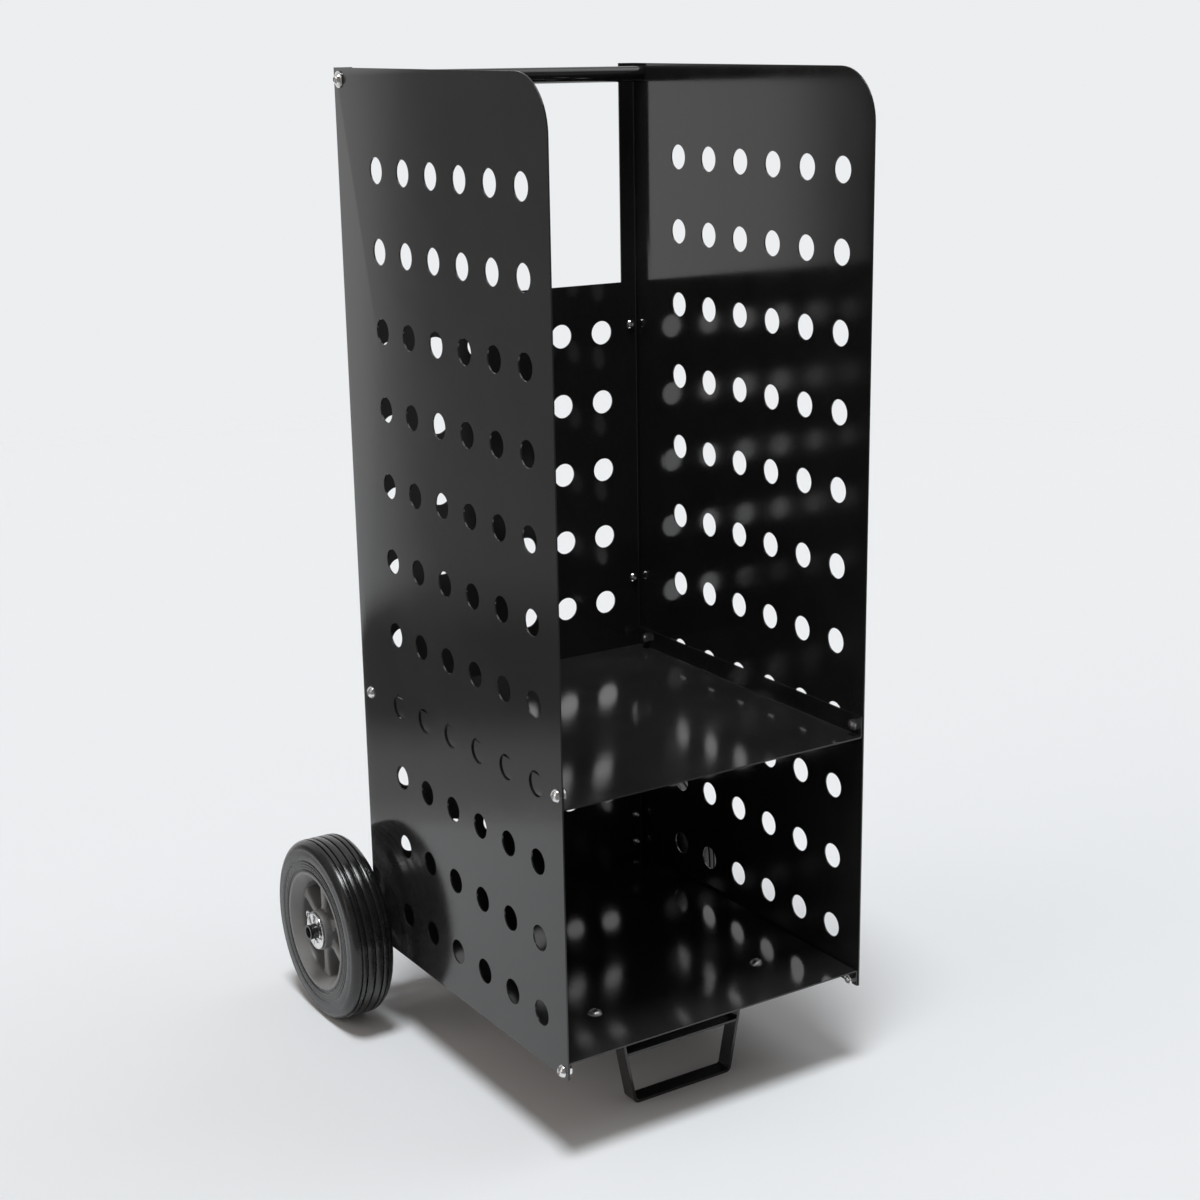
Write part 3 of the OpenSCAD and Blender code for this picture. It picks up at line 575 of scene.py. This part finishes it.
def tyre_profile():
    """Half sections joined: a sidewall flat but for bell-shaped grooves, with a low crown, a squared cosine,
    between the last one and the shoulder; a round shoulder; and a tread with five grooves that have sloped
    walls."""
    side = TYRE_HALF
    wall_r = np.linspace(LIP_R + 0.5, TYRE_R - SHOULDER, 97)
    dips = sum(deep * np.exp(-((wall_r - at) / width) ** 2) for at, deep, width in SIDE_GROOVES)
    crown = CROWN_HIGH * np.cos((wall_r - CROWN_R) / CROWN_WIDE * math.pi) ** 2 - CROWN_HIGH
    arc = np.linspace(0, math.pi / 2, 13)[1:]
    inner, foot_r = side - SEAT_INNER, LIP_R + 0.1
    half = [(inner, BED_R + 0.05), (inner, foot_r), (side - WALL_FOOT, foot_r)]
    half += list(zip(side - dips + crown, wall_r))
    half += list(zip(side - SHOULDER + SHOULDER * np.cos(arc), TYRE_R - SHOULDER + SHOULDER * np.sin(arc)))
    half = [p for p in half if p[0] > TREAD_EDGE or p[1] < TYRE_R - 1]
    groove = GROOVE_HALF + tuple((-at, deep) for at, deep in reversed(GROOVE_HALF))
    tread = [(g - at, round_over(g - at) - deep) for g in TREAD_GROOVES for at, deep in groove]
    return half + tread + [(-x, r) for x, r in reversed(half)]


def round_over(x):
    """Radius of the tread at a place across it: the full radius, less the shoulder's drop near a side."""
    out = max(0.0, abs(x) - TYRE_HALF + SHOULDER)
    return TYRE_R - SHOULDER + math.sqrt(SHOULDER ** 2 - out ** 2)


def rim_ring():
    """The barrel: a bed for the tyre between two lips, and a dish on each side that closes in to the spokes."""
    s, lip = TYRE_HALF, TYRE_HALF - LIP_INNER
    mouth, outside, seat, web = 1.3, 1.1, 0.4, 2.6
    outline = [(s, EDGE_IN), (s, LIP_R), (lip, LIP_R), (lip, BED_R), (-lip, BED_R), (-lip, LIP_R), (-s, LIP_R),
               (-s, EDGE_IN), (-WEB, DISH_R), (WEB, DISH_R)]
    return rounded(outline, [mouth, outside, seat, seat, seat, seat, outside, mouth, web, web], 5)


def hub_ring():
    """The hub: a sleeve that narrows a little towards both faces."""
    face_r, bore_r, full = 21.4, 11.1, 8
    outline = [(HUB_HALF, bore_r), (HUB_HALF, face_r), (full, HUB_R), (-full, HUB_R), (-HUB_HALF, face_r),
               (-HUB_HALF, bore_r)]
    return rounded(outline, 1.2, 4)


def nearness(distance, reach):
    """The square of how near: one at no distance, falling to zero at the reach."""
    return np.clip(1 - distance / reach, 0, 1) ** 2


def spoke(angle, around=48, along=29):
    """A moulded spoke: a superellipse section from hub to barrel, wider by the nearness to each end so that it
    runs into both in a curve, and a little deeper at the hub."""
    root, tip, flare_from, power = 18.5, 57.5, 20, 0.36
    half_root, widening, at_hub, at_barrel, swell = 5.0, 1.6, 4.0, 5.0, 0.5
    t = np.linspace(0, 1, along)
    radius = root + t * (tip - root)
    flare = at_hub * nearness(radius - flare_from, reach=8)
    flare = flare + at_barrel * nearness(DISH_R + 1 - radius, reach=10)
    half_w = half_root + widening * t + flare
    half_d = WEB - 0.15 + swell * nearness(radius - flare_from, reach=6)
    turn = np.arange(around) * TAU / around
    c = np.sign(np.cos(turn)) * np.abs(np.cos(turn)) ** power
    s = np.sign(np.sin(turn)) * np.abs(np.sin(turn)) ** power
    across, deep = half_w[:, None] * c, half_d[:, None] * s
    out = np.repeat(radius[:, None], around, 1)
    grid = np.stack([deep, out * math.cos(angle) - across * math.sin(angle),
                     out * math.sin(angle) + across * math.cos(angle)], -1)
    caps = [np.repeat(grid[k].mean(0)[None], around, 0)[None] for k in (0, -1)]
    return sheet_of(np.concatenate([caps[0], grid, caps[1]]), False, True)


def wheel(side_name, side, spokes=6):
    """Tyre, rim with its spokes, and bush, on one wheel body."""
    x, bush_bore, bush_r = side * TYRE_X, 8.08, 11.08
    body = side_name + "_wheel"
    tyre = turned_x([(x + side * a, r) for a, r in tyre_profile()], *AXLE, around=160)
    piece(side_name + "_rubber_tyre", [tyre], body, "rubber", RUBBER, side_name + "_tyre")
    shells = [turned_x([(x + side * a, r) for a, r in section], *AXLE, around=144)
              for section in (rim_ring(), hub_ring())]
    for i in range(spokes):
        points, quads = spoke(math.pi / 2 + i * TAU / spokes)
        shells.append(((points + [x, *AXLE]) * MM, quads))
    piece(side_name + "_spoked_rim", shells, body, "rim_plastic", RIM_GREY, side_name + "_rim")
    bush = ring(x - HUB_HALF, x + HUB_HALF, bush_bore, bush_r, *AXLE, edge=0.5)
    piece(side_name + "_hub_bush", [bush], body, "bush_plastic", NYLON, side_name + "_bush")


for side_name, side in SIDES:
    wheel(side_name, side)

# ---- Floor, backdrop and light ----

PALE, MIRRORED, SOFT = (0.8388, 0.8550, 0.8714, 1), (0.868, 0.853, 0.852, 1), (1, 0.93, 0.88, 1)
SOFT_LEVEL = 0.24
FLOOR_RINGS = (0, 0.5, 1, 2, 3, 5.0)
TO_REAR_RIGHT = (0.562, 0.827, 0)
# Each pair of limits of a smooth step, and the values there
NEAR_FADE = (-0.62, -0.42, 0.0, 1.0)  # metres to the rear right, share of the paper
FAR_FADE = (2.6, 4.2, 1.0, 0.0)  # metres from the middle, share of the paper
DARK_FRONT = (-0.45, 0.1, 0.2, 1.0)  # Y of a direction, level in reflections
DARK_TOP = (0.2, 0.6, 1.0, 0.65)  # Z of a direction, level in reflections
CARD_RISE = (0.17, 0.27, 0.0, 1.0)  # height on the card, how much its near edge has moved out
CARD_EDGE = ((1, 0.05, 0.0), (2, 0.12, 0.02))  # start and end of the edge's fade: socket, move, place at the foot
CARD_FOOT, CARD_END, CARD_LIFT, CARD_HIGH = np.array([-0.33, 0.68]), np.array([-1.5, -0.12]), 0.002, 1.3
# Glow of the card by height on it (place, level): painted reflection bands, seen in the panels
PAINTED_REFLECTION_LEVELS = ((0, 0.62), (0.03, 0.45), (0.075, 0.40), (0.12, 0.12), (0.2, 0.125), (0.27, 0.265), (1, 0.23))
COOL, WARM = (0.948, 0.978, 1), (1, 0.9, 0.82)
# Name, direction, strength, width in degrees and colour of each lamp
LAMPS = (("overhead", (0.14, 0.16, -1), 2.06, 15, COOL),
         ("right_box", (-0.6, 0.2, -1), 0.42, 40, COOL),
         ("fill", (0.95, -0.1, -0.45), 0.42, 50, WARM))


def floor(around=64):
    """A wide disc of paper: rings of a polar grid. It fades into the backdrop 3 m out, and half a metre from the
    middle towards the front left, where the paper ends and the studio is dark in reflections."""
    turn = np.arange(around) * TAU / around
    r = np.array(FLOOR_RINGS)
    grid = np.stack([r[:, None] * np.cos(turn), r[:, None] * np.sin(turn), np.zeros((len(r), around))], -1)
    points, quads = sheet_of(grid, False, True)
    mesh = bpy.data.meshes.new("floor")
    mesh.from_pydata(points.tolist(), [], quads.tolist())
    shape = bmesh.new()
    shape.from_mesh(mesh)
    bmesh.ops.remove_doubles(shape, verts=shape.verts, dist=MERGE)
    shape.to_mesh(mesh)
    shape.free()
    obj = bpy.data.objects.new("floor", mesh)
    bpy.context.scene.collection.objects.link(obj)
    f = Finish("floor_paper", Roughness=0.9, Specular_IOR_Level=0.1)
    shaded = tuple(c * 0.995 for c in PALE[:3])
    f.link(f.ramp(f.noise(scale=3, detail=3), (0.3, PALE[:3]), (0.7, shaded)), "Base Color")
    fade_floor(f)
    mesh.materials.append(f.material)


def fade_floor(f):
    """The share of the paper is two smooth steps multiplied: one of the place from the front left to the rear
    right, and one of the distance from the middle."""
    add, link = f.tree.nodes.new, f.tree.links.new
    along, out = add("ShaderNodeVectorMath"), add("ShaderNodeVectorMath")
    along.operation, out.operation = "DOT_PRODUCT", "LENGTH"
    along.inputs[1].default_value = TO_REAR_RIGHT
    both = add("ShaderNodeMath")
    both.operation = "MULTIPLY"
    for i, (node, limits) in enumerate(((along, NEAR_FADE), (out, FAR_FADE))):
        link(f.coords, node.inputs[0])
        link(smooth_step(f.tree, node.outputs["Value"], limits).outputs[0], both.inputs[i])
    link(both.outputs[0], f.shader.inputs["Alpha"])


def painted_reflection_card():
    """A tall glowing card behind the cart's left side, met by reflections alone: a painted reflection, which puts
    darker and lighter bands into the panels' reflections. A flat grid of place along its foot and height. Its glow
    follows the height, and the edge near the cart fades out."""
    u, v = np.meshgrid(np.linspace(0, 1, 9), np.linspace(0, 1, 9), indexing="ij")
    xy = CARD_FOOT + u[..., None] * (CARD_END - CARD_FOOT)
    points, quads = sheet_of(np.concatenate([xy, CARD_LIFT + v[..., None] * CARD_HIGH], -1))
    mesh = bpy.data.meshes.new("painted_reflection_card")
    mesh.from_pydata(points.tolist(), [], quads.tolist())
    uv = mesh.uv_layers.new(name="card")
    where = np.stack([u.ravel(), v.ravel()], 1)
    corner = np.zeros(len(mesh.loops), int)
    mesh.loops.foreach_get("vertex_index", corner)
    uv.data.foreach_set("uv", where[corner].ravel())
    obj = bpy.data.objects.new("painted_reflection_card", mesh)
    bpy.context.scene.collection.objects.link(obj)
    for ray in ("camera", "diffuse", "transmission", "volume_scatter", "shadow"):
        setattr(obj, "visible_" + ray, False)
    material = bpy.data.materials.new("painted_reflection_card")
    material.use_nodes = True
    tree = material.node_tree
    tree.nodes.clear()
    add, link = tree.nodes.new, tree.links.new
    # The card's glow by height is a painted reflection, seen by glossy rays only
    out, mix, see, glow = (add("ShaderNode" + kind)
                           for kind in ("OutputMaterial", "MixShader", "BsdfTransparent", "Emission"))
    split, place, shade = add("ShaderNodeSeparateXYZ"), add("ShaderNodeUVMap"), add("ShaderNodeValToRGB")
    place.uv_map = "card"
    link(place.outputs[0], split.inputs[0])
    along, up = split.outputs[0], split.outputs[1]
    fill_ramp(shade.color_ramp, PAINTED_REFLECTION_LEVELS)
    link(up, shade.inputs[0])
    link(shade.outputs[0], glow.inputs[0])
    edge, rise = smooth_step(tree, along), smooth_step(tree, up, CARD_RISE)
    for socket, factor, offset in CARD_EDGE:
        line = add("ShaderNodeMath")
        line.operation = "MULTIPLY_ADD"
        link(rise.outputs[0], line.inputs[0])
        line.inputs[1].default_value, line.inputs[2].default_value = factor, offset
        link(line.outputs[0], edge.inputs[socket])
    for i, node in enumerate((edge, see, glow)):
        link(node.outputs[0], mix.inputs[i])
    link(mix.outputs[0], out.inputs[0])
    mesh.materials.append(material)


def backdrop():
    """The world: pale for the camera; in reflections pale behind the cart, and darker in front of it and high up,
    where the studio has no paper, by two smooth steps of the direction's Y and Z multiplied; and a soft, faintly
    warm fill as a source of light."""
    world = bpy.data.worlds.new("studio")
    bpy.context.scene.world = world
    world.use_nodes = True
    tree = world.node_tree
    add, link = tree.nodes.new, tree.links.new
    shown, mirrored, soft = tree.nodes["Background"], add("ShaderNodeBackground"), add("ShaderNodeBackground")
    shown.inputs[0].default_value = PALE
    mirrored.inputs[0].default_value = MIRRORED
    soft.inputs[0].default_value = SOFT
    soft.inputs[1].default_value = SOFT_LEVEL
    direction, parts, level = add("ShaderNodeTexCoord"), add("ShaderNodeSeparateXYZ"), add("ShaderNodeMath")
    link(direction.outputs["Generated"], parts.inputs[0])
    level.operation = "MULTIPLY"
    for i, (part, limits) in enumerate((("Y", DARK_FRONT), ("Z", DARK_TOP))):
        link(smooth_step(tree, parts.outputs[part], limits).outputs[0], level.inputs[i])
    link(level.outputs[0], mirrored.inputs[1])
    path, straight = add("ShaderNodeLightPath"), add("ShaderNodeMath")
    straight.operation = "MAXIMUM"
    link(path.outputs["Is Camera Ray"], straight.inputs[0])
    link(path.outputs["Is Transmission Ray"], straight.inputs[1])
    lit, seen = add("ShaderNodeMixShader"), add("ShaderNodeMixShader")
    link(path.outputs["Is Glossy Ray"], lit.inputs[0])
    link(soft.outputs[0], lit.inputs[1])
    link(mirrored.outputs[0], lit.inputs[2])
    link(straight.outputs[0], seen.inputs[0])
    link(lit.outputs[0], seen.inputs[1])
    link(shown.outputs[0], seen.inputs[2])
    link(seen.outputs[0], tree.nodes["World Output"].inputs["Surface"])


def sun(name, toward, strength, width_deg, color):
    """A distant lamp that shines along a direction."""
    data = bpy.data.lights.new(name, "SUN")
    data.energy = strength
    data.color = color
    data.angle = math.radians(width_deg)
    lamp = bpy.data.objects.new(name, data)
    lamp.rotation_mode = "QUATERNION"
    lamp.rotation_quaternion = Vector(toward).to_track_quat("-Z", "Y")
    bpy.context.scene.collection.objects.link(lamp)


aim_camera()
floor()
# A glowing card seen only in reflections: painted reflection bands on the panels
painted_reflection_card()
backdrop()
for lamp in LAMPS:
    sun(*lamp)

bpy.context.scene.view_settings.view_transform = "Standard"

bpy.context.view_layer.update()
